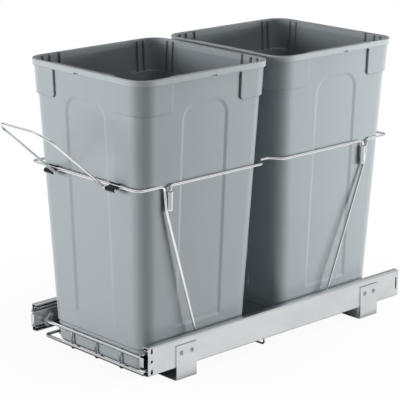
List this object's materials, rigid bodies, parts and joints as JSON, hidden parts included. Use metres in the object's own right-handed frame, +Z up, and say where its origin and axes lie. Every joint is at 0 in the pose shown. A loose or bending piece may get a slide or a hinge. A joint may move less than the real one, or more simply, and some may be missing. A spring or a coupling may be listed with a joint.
{
  "type": "pull-out waste bin unit",
  "caption": "Pull-out kitchen waste unit: tapered open bins in a wire tray with hoop guards and a swinging wire handle, on full-extension ball slides with floor feet.",
  "frame": {"origin": "centre of the floor screw pattern, on the cabinet floor under the feet", "axes": "+Z up; -Y out of the cabinet, the way the tray pulls and the handle points; +Y to the back of the cabinet"},
  "size_m": [0.2836, 0.6843, 0.4613],
  "materials": {
    "bin_plastic": "fine satin moulded",
    "zinc_steel": "zinc-plated satin",
    "chrome_wire": "bright plated wire",
    "black_plastic": "moulded",
    "bright_steel": "bright zinc"
  },
  "bodies": {
    "slide_base": {"foot_rivets": "bright_steel", "left_front_foot": "zinc_steel", "left_outer_member": "zinc_steel", "left_race_stops": "black_plastic", "left_rear_foot": "zinc_steel", "right_front_foot": "zinc_steel", "right_outer_member": "zinc_steel", "right_race_stops": "black_plastic", "right_rear_foot": "zinc_steel"},
    "tray": {"bottom_loop": "chrome_wire", "cross_wire": "chrome_wire", "front_hoop": "chrome_wire", "front_top_wire": "chrome_wire", "left_clip": "black_plastic", "left_floor_wire": "chrome_wire", "left_front_link": "chrome_wire", "left_front_socket": "chrome_wire", "left_inner_member": "zinc_steel", "left_rear_link": "chrome_wire", "left_rear_socket": "chrome_wire", "left_side_wire": "chrome_wire", "middle_floor_wire": "chrome_wire", "rear_hoop": "chrome_wire", "rear_top_wire": "chrome_wire", "right_clip": "black_plastic", "right_floor_wire": "chrome_wire", "right_front_link": "chrome_wire", "right_front_socket": "chrome_wire", "right_inner_member": "zinc_steel", "right_rear_link": "chrome_wire", "right_rear_socket": "chrome_wire", "right_side_wire": "chrome_wire", "tray_screws": "bright_steel"},
    "left_middle": {"left_middle_member": "zinc_steel"},
    "left_outer_race": {"left_outer_cage": "bright_steel", "left_outer_balls": "bright_steel"},
    "left_inner_race": {"left_inner_cage": "bright_steel", "left_inner_balls": "bright_steel"},
    "right_middle": {"right_middle_member": "zinc_steel"},
    "right_outer_race": {"right_outer_cage": "bright_steel", "right_outer_balls": "bright_steel"},
    "right_inner_race": {"right_inner_cage": "bright_steel", "right_inner_balls": "bright_steel"},
    "bail": {"handle": "chrome_wire"},
    "front_bin_body": {"front_bin": "bin_plastic"},
    "rear_bin_body": {"rear_bin": "bin_plastic"}
  },
  "joints": [
    {"name": "tray_slide", "type": "slide", "parent": "slide_base", "child": "tray", "axis": [0, -1, 0], "range_m": [0, 0.53]},
    {"name": "left_middle_slide", "type": "slide", "parent": "slide_base", "child": "left_middle", "axis": [0, -1, 0], "range_m": [0, 0.265]},
    {"name": "left_outer_race_slide", "type": "slide", "parent": "slide_base", "child": "left_outer_race", "axis": [0, -1, 0], "range_m": [0, 0.1325]},
    {"name": "left_inner_race_slide", "type": "slide", "parent": "slide_base", "child": "left_inner_race", "axis": [0, -1, 0], "range_m": [0, 0.3975]},
    {"name": "right_middle_slide", "type": "slide", "parent": "slide_base", "child": "right_middle", "axis": [0, -1, 0], "range_m": [0, 0.265]},
    {"name": "right_outer_race_slide", "type": "slide", "parent": "slide_base", "child": "right_outer_race", "axis": [0, -1, 0], "range_m": [0, 0.1325]},
    {"name": "right_inner_race_slide", "type": "slide", "parent": "slide_base", "child": "right_inner_race", "axis": [0, -1, 0], "range_m": [0, 0.3975]},
    {"name": "handle_swing", "type": "hinge", "parent": "tray", "child": "bail", "pos_m": [0, -0.29208, 0.2957], "axis": [1, 0, 0], "range_deg": [-49, 131]},
    {"name": "front_bin_lift", "type": "slide", "parent": "tray", "child": "front_bin_body", "axis": [0, 0, 1], "range_m": [0, 0.47]},
    {"name": "rear_bin_lift", "type": "slide", "parent": "tray", "child": "rear_bin_body", "axis": [0, 0, 1], "range_m": [0, 0.47]}
  ],
  "couplings": [
    {"joint": "left_middle_slide", "follows": "tray_slide", "ratio": 0.5},
    {"joint": "left_outer_race_slide", "follows": "tray_slide", "ratio": 0.25},
    {"joint": "left_inner_race_slide", "follows": "tray_slide", "ratio": 0.75},
    {"joint": "right_middle_slide", "follows": "tray_slide", "ratio": 0.5},
    {"joint": "right_outer_race_slide", "follows": "tray_slide", "ratio": 0.25},
    {"joint": "right_inner_race_slide", "follows": "tray_slide", "ratio": 0.75}
  ]
}
